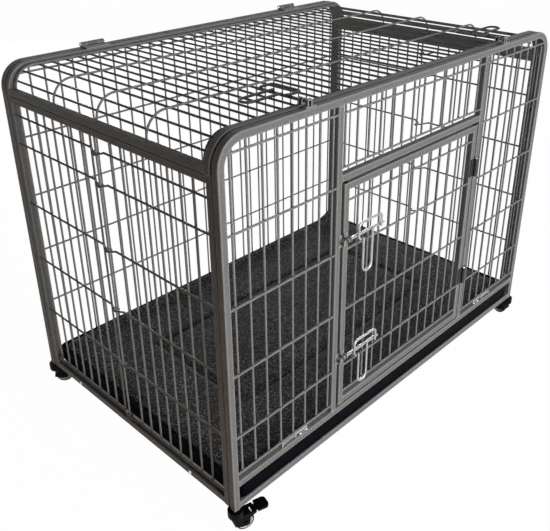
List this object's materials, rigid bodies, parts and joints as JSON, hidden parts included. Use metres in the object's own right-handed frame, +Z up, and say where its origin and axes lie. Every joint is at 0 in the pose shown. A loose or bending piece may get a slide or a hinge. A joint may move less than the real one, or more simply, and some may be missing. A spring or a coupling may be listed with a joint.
{
  "type": "dog crate",
  "caption": "Heavy duty dog crate of square steel tube and wire mesh, with a hinged front door, a hinged roof, slide bolts, a pull-out tray with a mat, and casters.",
  "frame": {"origin": "on the floor under the middle of the crate's bounding box", "axes": "+X along the crate's length to the right as seen from the front, -Y to the front with the door, +Z up"},
  "size_m": [1.1073, 0.7284, 0.8477],
  "materials": {
    "tube_coat": "satin",
    "wire_coat": "satin",
    "black_steel": "satin",
    "bright_steel": "satin",
    "black_plastic": "satin",
    "tyre_rubber": "matte",
    "wheel_core": "satin",
    "tray_plastic": "satin",
    "fleece": "matte"
  },
  "bodies": {
    "crate": {"front_hoop": "tube_coat", "front_left_post": "tube_coat", "front_right_post": "tube_coat", "door_header": "tube_coat", "front_bottom_rail": "tube_coat", "front_lower_rail": "tube_coat", "front_left_mesh": "wire_coat", "front_right_mesh": "wire_coat", "front_upper_mesh": "wire_coat", "rear_hoop": "tube_coat", "rear_lower_rail": "tube_coat", "rear_mesh": "wire_coat", "left_end_front_frame": "tube_coat", "left_end_rear_frame": "tube_coat", "right_end_front_frame": "tube_coat", "right_end_rear_frame": "tube_coat", "left_end_front_mesh": "wire_coat", "left_end_rear_mesh": "wire_coat", "right_end_front_mesh": "wire_coat", "right_end_rear_mesh": "wire_coat", "panel_spacers": "black_plastic", "end_rail_rivets": "bright_steel", "tray_catches": "tube_coat", "tray_catch_springs": "black_steel", "door_bolt_keepers": "tube_coat", "roof_bolt_keepers": "tube_coat", "door_hinge_brackets": "black_steel", "door_hinge_pins": "bright_steel", "roof_hinge_brackets": "tube_coat", "roof_hinge_pins": "bright_steel", "caster_sockets": "black_plastic"},
    "door": {"door_frame": "tube_coat", "door_mesh": "wire_coat", "door_bolt_guides": "tube_coat", "door_hinge_leaves": "black_steel"},
    "upper_bolt": {"upper_door_bolt": "wire_coat"},
    "lower_bolt": {"lower_door_bolt": "wire_coat"},
    "roof": {"roof_front_hoop": "tube_coat", "roof_rear_hoop": "tube_coat", "roof_left_tube": "tube_coat", "roof_right_tube": "tube_coat", "roof_mesh": "wire_coat", "roof_hinge_plates": "tube_coat", "roof_bolt_guides": "tube_coat"},
    "left_bolt": {"left_roof_bolt": "black_steel"},
    "right_bolt": {"right_roof_bolt": "black_steel"},
    "tray_body": {"tray": "tray_plastic", "mat": "fleece"},
    "front_left_caster": {"front_left_fork": "black_plastic"},
    "front_left_roller": {"front_left_wheel": "tyre_rubber"},
    "front_left_pedal": {"front_left_brake_pedal": "black_plastic"},
    "front_right_caster": {"front_right_fork": "black_plastic"},
    "front_right_roller": {"front_right_wheel": "tyre_rubber"},
    "rear_left_caster": {"rear_left_fork": "black_plastic"},
    "rear_left_roller": {"rear_left_wheel": "tyre_rubber"},
    "rear_right_caster": {"rear_right_fork": "black_plastic"},
    "rear_right_roller": {"rear_right_wheel": "tyre_rubber"},
    "rear_right_pedal": {"rear_right_brake_pedal": "black_plastic"}
  },
  "joints": [
    {"name": "door_swing", "type": "hinge", "parent": "crate", "child": "door", "pos_m": [0.2415, -0.34531, 0.41], "axis": [0, 0, 1], "range_deg": [0, 170]},
    {"name": "upper_bolt_slide", "type": "slide", "parent": "door", "child": "upper_bolt", "axis": [-1, 0, 0], "range_m": [0, 0.017]},
    {"name": "lower_bolt_slide", "type": "slide", "parent": "door", "child": "lower_bolt", "axis": [-1, 0, 0], "range_m": [0, 0.017]},
    {"name": "roof_swing", "type": "hinge", "parent": "crate", "child": "roof", "pos_m": [0, 0.34819, 0.838], "axis": [-1, 0, 0], "range_deg": [0, 110]},
    {"name": "left_roof_bolt_slide", "type": "slide", "parent": "roof", "child": "left_bolt", "axis": [0, -1, 0], "range_m": [0, 0.017]},
    {"name": "right_roof_bolt_slide", "type": "slide", "parent": "roof", "child": "right_bolt", "axis": [0, -1, 0], "range_m": [0, 0.017]},
    {"name": "tray_slide", "type": "slide", "parent": "crate", "child": "tray_body", "axis": [0, -1, 0], "range_m": [0, 0.6]},
    {"name": "front_left_swivel", "type": "hinge", "parent": "crate", "child": "front_left_caster", "pos_m": [-0.5375, -0.33381, 0.06], "axis": [0, 0, 1], "continuous": true},
    {"name": "front_left_roll", "type": "hinge", "parent": "front_left_caster", "child": "front_left_roller", "pos_m": [-0.5202, -0.33877, 0.02], "axis": [0.2756, 0.9613, 0], "continuous": true},
    {"name": "front_left_brake", "type": "hinge", "parent": "front_left_caster", "child": "front_left_pedal", "pos_m": [-0.50145, -0.34415, 0.04], "axis": [0.2756, 0.9613, 0], "range_deg": [0, 12]},
    {"name": "front_right_swivel", "type": "hinge", "parent": "crate", "child": "front_right_caster", "pos_m": [0.5375, -0.33381, 0.06], "axis": [0, 0, 1], "continuous": true},
    {"name": "front_right_roll", "type": "hinge", "parent": "front_right_caster", "child": "front_right_roller", "pos_m": [0.53938, -0.31591, 0.02], "axis": [-0.9945, 0.1045, 0], "continuous": true},
    {"name": "rear_left_swivel", "type": "hinge", "parent": "crate", "child": "rear_left_caster", "pos_m": [-0.5375, 0.34819, 0.06], "axis": [0, 0, 1], "continuous": true},
    {"name": "rear_left_roll", "type": "hinge", "parent": "rear_left_caster", "child": "rear_left_roller", "pos_m": [-0.52191, 0.33919, 0.02], "axis": [0.5, 0.866, 0], "continuous": true},
    {"name": "rear_right_swivel", "type": "hinge", "parent": "crate", "child": "rear_right_caster", "pos_m": [0.5375, 0.34819, 0.06], "axis": [0, 0, 1], "continuous": true},
    {"name": "rear_right_roll", "type": "hinge", "parent": "rear_right_caster", "child": "rear_right_roller", "pos_m": [0.5195, 0.34819, 0.02], "axis": [0, -1, 0], "continuous": true},
    {"name": "rear_right_brake", "type": "hinge", "parent": "rear_right_caster", "child": "rear_right_pedal", "pos_m": [0.5, 0.34819, 0.04], "axis": [0, -1, 0], "range_deg": [0, 12]}
  ]
}
